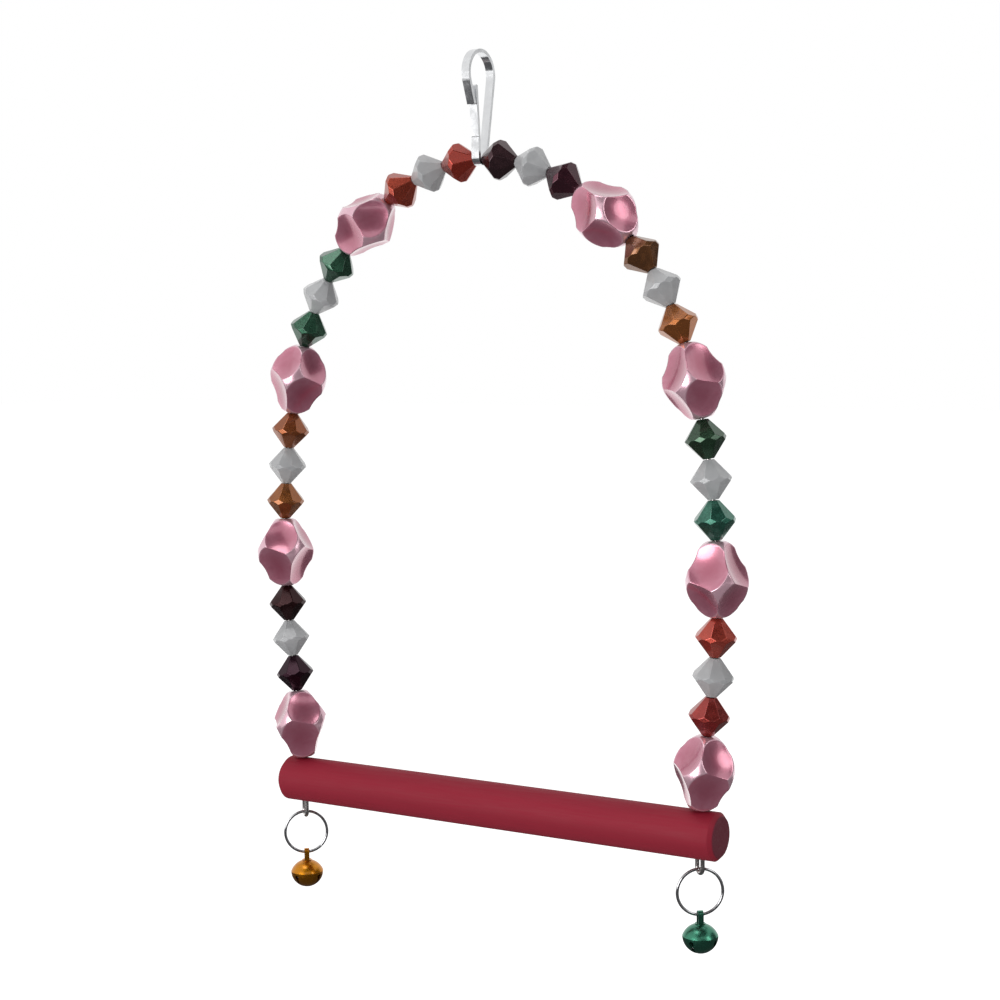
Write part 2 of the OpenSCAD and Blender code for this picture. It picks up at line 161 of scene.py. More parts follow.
def makeStudio(settings):
    scene = bpy.context.scene
    scene.view_settings.view_transform = "Standard"

    world = bpy.data.worlds.new("studio air")
    scene.world = world
    world.use_nodes = True
    tree = world.node_tree
    tree.nodes.clear()
    strength = addNode(tree, "ShaderNodeMapRange", inputs={
        "Value": seenByView(tree), "To Min": settings["worldLight"], "To Max": 1.0})
    air = addNode(tree, "ShaderNodeBackground", inputs={
        "Color": (1, 1, 1, 1), "Strength": strength.outputs["Result"]})
    addNode(tree, "ShaderNodeOutputWorld", inputs={"Surface": air.outputs["Background"]})

    # a painted floor: lit and shaded as it is, with a lift that only the view gets
    floorPaint = bpy.data.materials.new("matt white floor paint")
    floorPaint.use_nodes = True
    tree = floorPaint.node_tree
    tree.nodes.clear()
    lift = addNode(tree, "ShaderNodeMath", {"operation": "MULTIPLY"},
                   {0: seenByView(tree), 1: settings["floorLift"]})
    paint = addNode(tree, "ShaderNodeBsdfDiffuse", inputs={"Color": hexColour(settings["floorColour"])})
    glow = addNode(tree, "ShaderNodeEmission", inputs={"Color": (1, 1, 1, 1), "Strength": lift.outputs[0]})
    both = addNode(tree, "ShaderNodeAddShader", inputs={0: paint.outputs[0], 1: glow.outputs[0]})
    addNode(tree, "ShaderNodeOutputMaterial", inputs={"Surface": both.outputs[0]})

    half = settings["floorSize"] / 2
    level = settings["floorLevel"]
    sheet = bpy.data.meshes.new("floor")
    corners = [(-half, -half, level), (half, -half, level), (half, half, level), (-half, half, level)]
    sheet.from_pydata(corners, [], [(0, 1, 2, 3)])
    floor = bpy.data.objects.new("floor", sheet)
    scene.collection.objects.link(floor)
    dress(floor, floorPaint)

    for name, (steps, size, power) in settings["lamps"].items():
        lamp = bpy.data.lights.new(name, "AREA")
        lamp.shape = "DISK"
        lamp.size = size
        lamp.energy = power
        holder = bpy.data.objects.new(name, lamp)
        scene.collection.objects.link(holder)
        placeToward(holder, steps, settings["aim"])

    cardPaint = bpy.data.materials.new("grey studio card")
    cardPaint.use_nodes = True
    tree = cardPaint.node_tree
    tree.nodes.clear()
    cloth = addNode(tree, "ShaderNodeBsdfDiffuse", inputs={"Color": hexColour(settings["cardColour"])})
    addNode(tree, "ShaderNodeOutputMaterial", inputs={"Surface": cloth.outputs[0]})
    for name, (steps, width, height) in settings["cards"].items():
        sheet = bpy.data.meshes.new(name)
        w, h = width / 2, height / 2
        sheet.from_pydata([(-w, -h, 0), (w, -h, 0), (w, h, 0), (-w, h, 0)], [], [(0, 1, 2, 3)])
        card = bpy.data.objects.new(name, sheet)
        scene.collection.objects.link(card)
        placeToward(card, steps, settings["aim"])
        if steps[2] < 0:
            card.rotation_euler = (0, 0, math.atan2(right.y, right.x))
        card.visible_camera = False
        card.visible_diffuse = False
        card.visible_shadow = False
        dress(card, cardPaint)


makeStudio(studio)
print("studio set")


brightSteel = {
    # drawing lines of the strip or wire, and patches of handling marks and thin plating
    "lineWidth": 0.12 * mm, "lineDepth": 0.01 * mm, "patchSize": 2 * mm,
    # share of the plain roughness in the smoothest and the roughest patches
    "patchGloss": (0.75, 1.5),
}


def makeBrightSteel(name, colours, roughness, scratch, stretch):
    # Nickel-plated steel: a bright hard skin, with the fine drawing lines of the strip or wire under it
    material, tree, surface, place = newMaterial(name)
    along = addNode(tree, "ShaderNodeMapping", inputs={"Vector": place, "Scale": stretch})
    lines = addNode(tree, "ShaderNodeTexNoise", inputs={
        "Vector": along.outputs[0], "Scale": 1 / brightSteel["lineWidth"], "Detail": 3.0})
    patches = addNode(tree, "ShaderNodeTexNoise", inputs={
        "Vector": place, "Scale": 1 / brightSteel["patchSize"], "Detail": 4.0})
    smoothest, roughest = brightSteel["patchGloss"]
    gloss = addNode(tree, "ShaderNodeMapRange", inputs={
        "Value": patches.outputs["Fac"], "From Min": noiseLow, "From Max": noiseHigh,
        "To Min": roughness * smoothest, "To Max": roughness * roughest})
    tint = addNode(tree, "ShaderNodeMix", {"data_type": "RGBA"}, {
        "Factor": patches.outputs["Fac"], colourA: hexColour(colours[0]),
        colourB: hexColour(colours[1])}).outputs[mixedColour]
    bump = addNode(tree, "ShaderNodeBump", inputs={
        "Strength": scratch, "Distance": brightSteel["lineDepth"], "Height": lines.outputs["Fac"]})
    surface.inputs["Metallic"].default_value = 1.0
    tree.links.new(tint, surface.inputs["Base Color"])
    tree.links.new(gloss.outputs["Result"], surface.inputs["Roughness"])
    tree.links.new(bump.outputs["Normal"], surface.inputs["Normal"])
    return material


# colours, roughness, strength of the drawing lines, and how much they are squeezed each way
platedStrip = makeBrightSteel("nickel plated spring strip, bright",
                              ("#cfd0d2", "#e2e3e4"), 0.17, 0.25, (1.0, 0.12, 0.12))
platedWire = makeBrightSteel("bright drawn steel wire", ("#b3aeac", "#c8c4c2"), 0.20, 0.25, (0.3, 1.0, 0.2))
ringSteel = makeBrightSteel("nickel plated ring wire", ("#a9a9ab", "#c4c4c6"), 0.16, 0.2, (1.0, 1.0, 1.0))
ballSteel = makeBrightSteel("tumbled steel ball", ("#9a9a9c", "#b2b2b4"), 0.24, 0.1, (1.0, 1.0, 1.0))


bellMetal = {
    # the lacquer's colour wanders over the cloud size, and tumbling left the marks
    "cloudSize": 1.5 * mm, "markSize": 0.25 * mm, "markDepth": 0.02 * mm, "markStrength": 0.25,
    # share of the plain roughness in the smoothest and the roughest marks
    "markGloss": (0.8, 1.4),
    "coat": 0.3, "coatRoughness": 0.05,
}


def makeBellMetal(name, colours, roughness):
    # Thin pressed shell, polished and lacquered: a deep colour that turns pale where a lamp is seen
    material, tree, surface, place = newMaterial(name)
    cloud = addNode(tree, "ShaderNodeTexNoise", inputs={
        "Vector": place, "Scale": 1 / bellMetal["cloudSize"], "Detail": 3.0})
    marks = addNode(tree, "ShaderNodeTexNoise", inputs={
        "Vector": place, "Scale": 1 / bellMetal["markSize"], "Detail": 2.0})
    tint = addNode(tree, "ShaderNodeMix", {"data_type": "RGBA"}, {
        "Factor": cloud.outputs["Fac"], colourA: hexColour(colours[0]),
        colourB: hexColour(colours[1])}).outputs[mixedColour]
    smoothest, roughest = bellMetal["markGloss"]
    gloss = addNode(tree, "ShaderNodeMapRange", inputs={
        "Value": marks.outputs["Fac"], "From Min": noiseLow, "From Max": noiseHigh,
        "To Min": roughness * smoothest, "To Max": roughness * roughest})
    bump = addNode(tree, "ShaderNodeBump", inputs={
        "Strength": bellMetal["markStrength"], "Distance": bellMetal["markDepth"],
        "Height": marks.outputs["Fac"]})
    surface.inputs["Metallic"].default_value = 1.0
    surface.inputs["Coat Weight"].default_value = bellMetal["coat"]
    surface.inputs["Coat Roughness"].default_value = bellMetal["coatRoughness"]
    tree.links.new(tint, surface.inputs["Base Color"])
    tree.links.new(gloss.outputs["Result"], surface.inputs["Roughness"])
    tree.links.new(bump.outputs["Normal"], surface.inputs["Normal"])
    return material


goldBell = makeBellMetal("gold lacquered pressed brass", ("#b36e0d", "#d18b19"), 0.30)
greenBell = makeBellMetal("green lacquered pressed steel", ("#34735c", "#468f74"), 0.28)

for node in ("hook_body", "hook_tongue"):
    dress(nodes[node], platedStrip)
dress(nodes["arch_wire"], platedWire)
for side in ("left", "right"):
    dress(nodes["ring_" + side], ringSteel)
    dress(nodes["bell_ball_" + side], ballSteel)
for node in ("bell_shell_left", "bell_loop_left"):
    dress(nodes[node], goldBell)
for node in ("bell_shell_right", "bell_loop_right"):
    dress(nodes[node], greenBell)
print("metals dressed")


perchSettings = {
    "colours": ("#831427", "#981c33"), "endColours": ("#60192a", "#6a1d2e"),
    "grainWidth": 0.35 * mm, "grainStretch": 24.0, "ringSpacing": 1.1 * mm,
    "bandWidth": 3.5 * mm, "grainShare": 0.4, "poreSize": 0.3 * mm, "ringShare": 0.12,
    # how far apart a wave texture draws its rings at scale 1
    "plainSpacing": 0.3,
    # the middle of the year rings from the middle of the dowel, and the edge of the end colour
    "ringMiddle": (0, 9 * mm, 5 * mm), "endFade": (0.25 * mm, 0.05 * mm),
    "relief": 0.25, "reliefDepth": 0.03 * mm, "shine": 0.3,
    "roughness": 0.62, "smoother": 0.08, "rougher": 0.12, "axisLevel": -159.95 * mm,
    "halfLength": 54.68 * mm,
}


def makeStainedWood(settings):
    # Ramin dowel, turned and dipped in a matt red stain: long fine grain on the round, open grain on the cuts
    material, tree, surface, place = newMaterial("red stained ramin dowel, matt")
    middle = addNode(tree, "ShaderNodeMapping", inputs={
        "Vector": place, "Location": (0, 0, -settings["axisLevel"])}).outputs[0]
    stretched = addNode(tree, "ShaderNodeMapping", inputs={
        "Vector": middle, "Scale": (1 / settings["grainStretch"], 1, 1)}).outputs[0]
    grain = addNode(tree, "ShaderNodeTexNoise", inputs={
        "Vector": stretched, "Scale": 1 / settings["grainWidth"], "Detail": 4.0,
        "Roughness": 0.55}).outputs["Fac"]
    # the stain takes unevenly over wide bands
    bands = addNode(tree, "ShaderNodeTexNoise",
                    inputs={"Vector": stretched, "Scale": 1 / settings["bandWidth"], "Detail": 2.0})
    taken = addNode(tree, "ShaderNodeMix", {"data_type": "FLOAT"}, {
        "Factor": settings["grainShare"], valueA: bands.outputs["Fac"], valueB: grain}).outputs[0]
    side = addNode(tree, "ShaderNodeMix", {"data_type": "RGBA"}, {
        "Factor": taken, colourA: hexColour(settings["colours"][0]),
        colourB: hexColour(settings["colours"][1])}).outputs[mixedColour]

    # year rings and pores on the sawn ends
    offset = addNode(tree, "ShaderNodeMapping", inputs={
        "Vector": middle, "Location": settings["ringMiddle"], "Scale": (0, 1, 1)}).outputs[0]
    rings = addNode(tree, "ShaderNodeTexWave", {"wave_type": "RINGS", "rings_direction": "X"}, {
        "Vector": offset, "Scale": settings["plainSpacing"] / settings["ringSpacing"],
        "Distortion": 2.0, "Detail": 2.0})
    pores = addNode(tree, "ShaderNodeTexNoise",
                    inputs={"Vector": middle, "Scale": 1 / settings["poreSize"], "Detail": 3.0})
    grainEnd = addNode(tree, "ShaderNodeMix", {"data_type": "FLOAT"}, {
        "Factor": settings["ringShare"], valueA: pores.outputs["Fac"],
        valueB: rings.outputs["Fac"]}).outputs[0]
    ends = addNode(tree, "ShaderNodeMix", {"data_type": "RGBA"}, {
        "Factor": grainEnd, colourA: hexColour(settings["endColours"][0]),
        colourB: hexColour(settings["endColours"][1])}).outputs[mixedColour]

    # 1 on the cut ends and 0 along the round
    apart = addNode(tree, "ShaderNodeSeparateXYZ", inputs={"Vector": place})
    distance = addNode(tree, "ShaderNodeMath", {"operation": "ABSOLUTE"},
                       {0: apart.outputs["X"]}).outputs[0]
    onEnd = addNode(tree, "ShaderNodeMapRange", inputs={
        "Value": distance, "From Min": settings["halfLength"] - settings["endFade"][0],
        "From Max": settings["halfLength"] - settings["endFade"][1]}).outputs["Result"]
    colour = addNode(tree, "ShaderNodeMix", {"data_type": "RGBA"},
                     {"Factor": onEnd, colourA: side, colourB: ends}).outputs[mixedColour]
    rough = addNode(tree, "ShaderNodeMapRange", inputs={
        "Value": grain, "From Min": noiseLow, "From Max": noiseHigh,
        "To Min": settings["roughness"] - settings["smoother"],
        "To Max": settings["roughness"] + settings["rougher"]}).outputs["Result"]
    bump = addNode(tree, "ShaderNodeBump", inputs={
        "Strength": settings["relief"], "Distance": settings["reliefDepth"], "Height": taken})
    tree.links.new(colour, surface.inputs["Base Color"])
    tree.links.new(rough, surface.inputs["Roughness"])
    tree.links.new(bump.outputs["Normal"], surface.inputs["Normal"])
    surface.inputs["Specular IOR Level"].default_value = settings["shine"]
    return material


dress(nodes["perch"], makeStainedWood(perchSettings))
print("perch stained")


archPath = {
    # the wire's middle line in the CAD, in millimetres and degrees, from the top down
    "topRadius": 41.0, "topTurn": 32.5, "sideRadius": 61.5, "sideTurn": 43.0,
    "legRadius": 175.0, "legTurn": 21.0, "straightRadius": 1e6,
    "apexLevel": -22.0, "firstStart": 1.113, "conePitch": 8.1, "ovalPitch": 15.45, "ovalLength": 15.1,
    "conesInGroup": 3, "groupsOnLeg": 4,
}


def outward(turn):
    return Vector((math.sin(math.radians(turn)), math.cos(math.radians(turn))))


def alongArch(distance, path):
    # place in X and Z, turn and radius of the wire, that far along it from the top
    centre = Vector((0, path["apexLevel"] - path["topRadius"]))
    turn, left = 0.0, distance
    bends = [(path["topRadius"], path["topTurn"]), (path["sideRadius"], path["sideTurn"]),
             (path["legRadius"], path["legTurn"])]
    for number, (radius, angle) in enumerate(bends):
        length = math.radians(angle) * radius
        if left <= length:
            turn += math.degrees(left / radius)
            return centre + radius * outward(turn), turn, radius
        left -= length
        turn += angle
        if number + 1 < len(bends):
            centre = centre + (radius - bends[number + 1][0]) * outward(turn)
    end = centre + bends[-1][0] * outward(turn)
    run = Vector((math.cos(math.radians(turn)), -math.sin(math.radians(turn))))
    return end + left * run, turn, path["straightRadius"]


def groupStart(group, path):
    # how far along the wire a group of three faceted beads and an oval one begins
    return path["firstStart"] + group * (path["conesInGroup"] * path["conePitch"] + path["ovalPitch"])


facetedBeads = {
    "edgeRadius": 0.13 * mm, "edgeSteps": 2, "edgeAngle": 12, "length": 7.75, "endSpare": 0.1,
    "weld": 1e-7, "flatAngle": 1,
    # right leg from the top down and then the left leg
    "order": ["plum", "frost", "plum2", "brown", "frost", "amber",
              "green", "frost", "teal", "red", "frost", "red2",
              "rust", "frost", "rust2", "green2", "frost", "green2",
              "brown2", "frost", "amber2", "plum3", "frost", "plum4"],
    # lacquer name: dark and light of its colour, strength of the flakes and of the clear coat
    "lacquers": {
        "plum": ("#332025", "#482d32", 0.15, 0.4),
        "plum2": ("#361722", "#502230", 0.15, 0.5),
        "brown": ("#5b3820", "#88552c", 0.25, 0.5),
        "brown2": ("#773c1a", "#9a5427", 0.25, 0.5),
        "amber": ("#86481c", "#b26c34", 0.25, 0.5),
        "amber2": ("#784019", "#9d5d28", 0.25, 0.5),
        "green": ("#183122", "#35583d", 0.8, 0.5),
        "green2": ("#153828", "#33624a", 0.8, 0.5),
        "teal": ("#164b3c", "#3d7e6a", 0.8, 0.5),
        "red": ("#983125", "#c15140", 0.15, 0.5),
        "red2": ("#7d2320", "#ac3d36", 0.15, 0.5),
        "plum3": ("#210a0c", "#341416", 0.1, 0.05),
        "plum4": ("#1e0613", "#2e0d1e", 0.1, 0.05),
        "rust": ("#90291d", "#b13d2b", 0.15, 0.5),
        "rust2": ("#8a3122", "#ab4630", 0.15, 0.5),
    },
    "flakeSize": 0.35 * mm, "cloudSize": 1.6 * mm, "flakeShare": 0.5,
    # how rough the lacquer is, least and most
    "roughness": (0.20, 0.32),
    # strength of the flakes' relief, least and added, with its depth, and then the same of the clouds
    "flakeRelief": (0.02, 0.06), "flakeDepth": 0.02 * mm, "cloudRelief": 0.1, "cloudDepth": 0.03 * mm,
    "metal": 0.75, "coatRoughness": 0.06,
}


def makeBeadLacquer(name, settings, dark, light, flake, coat):
    # Moulded acrylic bead under a metallic pearl lacquer: facets that mirror softly, flakes in the colour
    material, tree, surface, place = newMaterial(name)
    # the flakes are drawn coarser than real ones so that they show
    flakes = addNode(tree, "ShaderNodeTexVoronoi", inputs={
        "Vector": place, "Scale": 1 / settings["flakeSize"], "Randomness": 1.0})
    cloud = addNode(tree, "ShaderNodeTexNoise", inputs={
        "Vector": place, "Scale": 1 / settings["cloudSize"], "Detail": 4.0})
    grey = addNode(tree, "ShaderNodeSeparateXYZ", inputs={"Vector": flakes.outputs["Color"]})
    mixed = addNode(tree, "ShaderNodeMix", {"data_type": "FLOAT"}, {
        "Factor": settings["flakeShare"] * flake, valueA: cloud.outputs["Fac"],
        valueB: grey.outputs["X"]}).outputs[0]
    tint = addNode(tree, "ShaderNodeMix", {"data_type": "RGBA"}, {
        "Factor": mixed, colourA: hexColour(dark), colourB: hexColour(light)}).outputs[mixedColour]
    rough = addNode(tree, "ShaderNodeMapRange", inputs={
        "Value": cloud.outputs["Fac"], "From Min": noiseLow, "From Max": noiseHigh,
        "To Min": settings["roughness"][0], "To Max": settings["roughness"][1]})
    least, added = settings["flakeRelief"]
    bump = addNode(tree, "ShaderNodeBump", inputs={
        "Strength": least + added * flake, "Distance": settings["flakeDepth"], "Height": grey.outputs["X"]})
    wave = addNode(tree, "ShaderNodeBump", inputs={
        "Strength": settings["cloudRelief"], "Distance": settings["cloudDepth"],
        "Height": cloud.outputs["Fac"], "Normal": bump.outputs["Normal"]})
    surface.inputs["Metallic"].default_value = settings["metal"]
    surface.inputs["Coat Weight"].default_value = coat
    surface.inputs["Coat Roughness"].default_value = settings["coatRoughness"]
    tree.links.new(tint, surface.inputs["Base Color"])
    tree.links.new(rough.outputs["Result"], surface.inputs["Roughness"])
    tree.links.new(wave.outputs["Normal"], surface.inputs["Normal"])
    return material


frostedAcrylic = {
    # the edge blend and share set a painted rim light in the colour
    "colours": ("#939496", "#c5c6c7"), "cloudSize": 2.2 * mm, "paintedRimLightBlend": 0.45, "paintedRimLightShare": 0.5,
    "relief": 0.2, "reliefDepth": 0.04 * mm, "roughness": 0.38, "coat": 0.6, "coatRoughness": 0.08,
    # how much of the light sinks in, and how deep
    "milkiness": 0.35, "milkDepth": 1.2 * mm,
}


def makeFrostedAcrylic(name, settings):
    # Frosted grey acrylic: light sinks in and comes back soft, with a thin gloss on the facets
    material, tree, surface, place = newMaterial(name)
    dark, light = settings["colours"]
    cloud = addNode(tree, "ShaderNodeTexNoise", inputs={
        "Vector": place, "Scale": 1 / settings["cloudSize"], "Detail": 3.0})
    # painted light: the colour goes lighter toward the outline as seen, for the light that the thin edges let
    # through
    edge = addNode(tree, "ShaderNodeLayerWeight", inputs={"Blend": settings["paintedRimLightBlend"]})
    mixed = addNode(tree, "ShaderNodeMix", {"data_type": "FLOAT"}, {
        "Factor": settings["paintedRimLightShare"], valueA: cloud.outputs["Fac"],
        valueB: edge.outputs["Facing"]}).outputs[0]
    tint = addNode(tree, "ShaderNodeMix", {"data_type": "RGBA"}, {
        "Factor": mixed, colourA: hexColour(dark), colourB: hexColour(light)}).outputs[mixedColour]
    bump = addNode(tree, "ShaderNodeBump", inputs={
        "Strength": settings["relief"], "Distance": settings["reliefDepth"],
        "Height": cloud.outputs["Fac"]})
    tree.links.new(tint, surface.inputs["Base Color"])
    tree.links.new(bump.outputs["Normal"], surface.inputs["Normal"])
    surface.inputs["Roughness"].default_value = settings["roughness"]
    surface.inputs["Coat Weight"].default_value = settings["coat"]
    surface.inputs["Coat Roughness"].default_value = settings["coatRoughness"]
    surface.inputs["Subsurface Weight"].default_value = settings["milkiness"]
    surface.inputs["Subsurface Radius"].default_value = (1.0, 1.0, 1.0)
    surface.inputs["Subsurface Scale"].default_value = settings["milkDepth"]
    return material


def makeFacetedBead(name, node, place, path, settings, material):
    # the bead's own flat facets, with rounded moulded edges, drawn out at the ends to close the string up
    shape = bmesh.new()
    shape.from_mesh(nodes[node].data)
    bmesh.ops.remove_doubles(shape, verts=shape.verts, dist=settings["weld"])
    bmesh.ops.dissolve_limit(shape, angle_limit=math.radians(settings["flatAngle"]), verts=shape.verts,
                             edges=shape.edges)
    leg, onLeg = divmod(place, path["groupsOnLeg"] * path["conesInGroup"])
    group, inGroup = divmod(onLeg, path["conesInGroup"])
    distance = groupStart(group, path) + inGroup * path["conePitch"] + settings["length"] / 2
    turn = math.radians(alongArch(distance, path)[1])
    axis = Vector((math.cos(turn), 0, -math.sin(turn) * (-1 if leg else 1)))
    low, high = (pick(vert.co.dot(axis) for vert in shape.verts) for pick in (min, max))
    drawn = Matrix.Scale(1 + 2 * settings["endSpare"] / settings["length"], 4, axis)
    centre = Matrix.Translation((low + high) / 2 * axis)
    shape.transform(centre @ drawn @ centre.inverted())
    mesh = bpy.data.meshes.new(name)
    shape.to_mesh(mesh)
    shape.free()
    bead = bpy.data.objects.new(name, mesh)
    bpy.context.scene.collection.objects.link(bead)
    rounding = bead.modifiers.new("moulded edges", "BEVEL")
    rounding.width = settings["edgeRadius"]
    rounding.segments = settings["edgeSteps"]
    rounding.limit_method = "ANGLE"
    rounding.angle_limit = math.radians(settings["edgeAngle"])
    rounding.harden_normals = True
    finished = bpy.data.meshes.new_from_object(bead.evaluated_get(bpy.context.evaluated_depsgraph_get()))
    bead.modifiers.clear()
    bead.data = finished
    dress(bead, material)
    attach(bead, bodyOfNode[node])
    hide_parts(node)
    return bead


beadLacquers = {name: makeBeadLacquer(name + " pearl lacquer on acrylic", facetedBeads, *values)
                for name, values in facetedBeads["lacquers"].items()}
beadLacquers["frost"] = makeFrostedAcrylic("frosted grey acrylic", frostedAcrylic)
for place, lacquer in enumerate(facetedBeads["order"]):
    makeFacetedBead("faceted_bead_%02d" % (place + 1), "cone_bead_%02d" % (place + 1), place,
                    archPath, facetedBeads, beadLacquers[lacquer])
print("faceted beads made")


ovalBeads = {
    "length": 15.3, "width": 12.8, "bore": 1.8, "endShare": 0.36, "tipShare": 0.523,
    # radius, tilt and nearest point to the middle of the scoops at the two ends
    "deepScoop": (16.0, 25.0, 4.25), "shallowScoop": (14.0, 33.0, 4.9), "scoopsRound": 4, "skew": 10.0,
    "softness": 0.08, "around": 228, "along": 168, "weld": 0.02,
    # share of a full turn on the wire, and end over end before that
    "turnShares": [0.175, 0.395, 0.226, 0.143, 0.296, 0.196, 0.542, 0.118],
    "overShares": [0.0, 0.0, 0.0, 0.5, 0.5, 0.5, 0.5, 0.5],
    # the first colour is painted shade for the scoops and the other two are the lacquer's own swirl; the land
    # colour is a painted highlight
    "colours": ("#9c425a", "#b7657c", "#d292a5"), "landHighlightColour": "#e0b4c2",
    # how deep in a scoop, in millimetres, the painted shade begins and is full, and its most; the painted
    # highlight on the lands is gone by the first of these
    "highlightToShadeDepth": 0.2, "fullShadeDepth": 2.6, "mostPaintedShade": 0.75, "swirlSize": 3 * mm,
    "metal": 0.6, "roughness": 0.24, "coat": 1.0, "coatRoughness": 0.1, "relief": 0.1,
    "reliefDepth": 0.03 * mm,
}

# the plain bead: a barrel circle that runs into a sphere at each end, with the ends cut flat and a bore
barrelSteps = [
    ("half width", "MULTIPLY", "Width", 0.5),
    ("half length", "MULTIPLY", "Length", 0.5),
    ("bore radius", "MULTIPLY", "Bore", 0.5),
    ("end radius", "MULTIPLY", "Width", "End share"),
    ("tip", "MULTIPLY", "Length", "Tip share"),
    ("end level", "SUBTRACT", "tip", "end radius"),
    ("half width squared", "POWER", "half width", 2.0),
    ("end level squared", "POWER", "end level", 2.0),
    ("end radius squared", "POWER", "end radius", 2.0),
    ("squares", "ADD", "half width squared", "end level squared"),
    ("squares left", "SUBTRACT", "squares", "end radius squared"),
    ("narrowing", "SUBTRACT", "half width", "end radius"),
    ("narrowing twice", "MULTIPLY", "narrowing", 2.0),
    ("barrel radius", "DIVIDE", "squares left", "narrowing twice"),
    ("barrel shift", "SUBTRACT", "barrel radius", "half width"),
    ("barrel less end", "SUBTRACT", "barrel radius", "end radius"),
    ("scaled level", "MULTIPLY", "end level", "barrel radius"),
    ("join level", "DIVIDE", "scaled level", "barrel less end"),
]

# the way that a point of the grid looks from the middle of the bead: round it, and over from the top end
wayRoundSteps = [
    ("round", "MULTIPLY", "grid across", 2 * math.pi),
    ("first lean", "ARCTAN2", "bore radius", "half length"),
    ("both leans", "MULTIPLY", "first lean", 2.0),
    ("lean range", "SUBTRACT", math.pi, "both leans"),
    ("lean part", "MULTIPLY", "grid along", "lean range"),
    ("lean", "ADD", "first lean", "lean part"),
    ("sideways", "SINE", "lean"),
    ("upright", "COSINE", "lean"),
    ("cosine round", "COSINE", "round"),
    ("sine round", "SINE", "round"),
    ("way x", "MULTIPLY", "sideways", "cosine round"),
    ("way y", "MULTIPLY", "sideways", "sine round"),
]

# how far the plain bead reaches that way
plainReachSteps = [
    ("rise", "ABSOLUTE", "upright"),
    ("along end", "MULTIPLY", "rise", "end level"),
    ("along end squared", "POWER", "along end", 2.0),
    ("end root low", "SUBTRACT", "along end squared", "end level squared"),
    ("end root", "ADD", "end root low", "end radius squared"),
    ("end root side", "SQRT", "end root"),
    ("end reach", "ADD", "along end", "end root side"),
    ("side shift", "MULTIPLY", "sideways", "barrel shift"),
    ("side shift squared", "POWER", "side shift", 2.0),
    ("barrel shift squared", "POWER", "barrel shift", 2.0),
    ("barrel radius squared", "POWER", "barrel radius", 2.0),
    ("barrel root low", "SUBTRACT", "side shift squared", "barrel shift squared"),
    ("barrel root", "ADD", "barrel root low", "barrel radius squared"),
    ("barrel root side", "SQRT", "barrel root"),
    ("barrel reach", "SUBTRACT", "barrel root side", "side shift"),
    ("barrel level", "MULTIPLY", "barrel reach", "rise"),
    ("on barrel", "LESS_THAN", "barrel level", "join level"),
    ("on end", "SUBTRACT", 1.0, "on barrel"),
    ("barrel part", "MULTIPLY", "on barrel", "barrel reach"),
    ("end part", "MULTIPLY", "on end", "end reach"),
    ("round reach", "ADD", "barrel part", "end part"),
    ("safe rise", "MAXIMUM", "rise", 0.001),
    ("flat reach", "DIVIDE", "half length", "safe rise"),
    ("reach", "SMOOTH_MIN", "round reach", "flat reach", 0.15),
    ("plain reach", "ADD", "reach", 0.0),
]

# a scoop: where its ball stands, and how far the bead reaches before it meets the ball; a miss reaches far
scoopSteps = [
    ("away", "ADD", "nearest", "radius"),
    ("tilt cosine", "COSINE", "tilt"),
    ("tilt sine", "SINE", "tilt"),
    ("radial", "MULTIPLY", "away", "tilt cosine"),
    ("facing cosine", "COSINE", "facing"),
    ("facing sine", "SINE", "facing"),
    ("ball x", "MULTIPLY", "radial", "facing cosine"),
    ("ball y", "MULTIPLY", "radial", "facing sine"),
    ("ball height", "MULTIPLY", "away", "tilt sine"),
    ("ball z", "MULTIPLY", "ball height", "end"),
    ("near x", "MULTIPLY", "way x", "ball x"),
    ("near y", "MULTIPLY", "way y", "ball y"),
    ("near z", "MULTIPLY", "upright", "ball z"),
    ("near across", "ADD", "near x", "near y"),
    ("near", "ADD", "near across", "near z"),
    ("near squared", "POWER", "near", 2.0),
    ("away squared", "POWER", "away", 2.0),
    ("radius squared", "POWER", "radius", 2.0),
    ("to surface", "SUBTRACT", "away squared", "radius squared"),
    ("gap", "SUBTRACT", "near squared", "to surface"),
    ("meets", "GREATER_THAN", "gap", 0.0),
    ("safe gap", "MAXIMUM", "gap", 0.0),
    ("gap side", "SQRT", "safe gap"),
    ("hit", "SUBTRACT", "near", "gap side"),
    ("in front", "GREATER_THAN", "near", 0.0),
    ("ahead", "MULTIPLY", "meets", "in front"),
    ("missed", "SUBTRACT", 1.0, "ahead"),
    ("far", "MULTIPLY", "missed", 100.0),
    ("scoop reach", "ADD", "hit", "far"),
    ("reach", "SMOOTH_MIN", "reach", "scoop reach", "Softness"),
]

# what the mesh is marked with, and the bore, a hair smaller than its hole so that the two weld
lastSteps = [
    ("depth", "SUBTRACT", "plain reach", "reach"),
    ("tube radius", "MULTIPLY", "bore radius", 0.999),
    ("tube length", "MULTIPLY", "Length", 0.999),
]


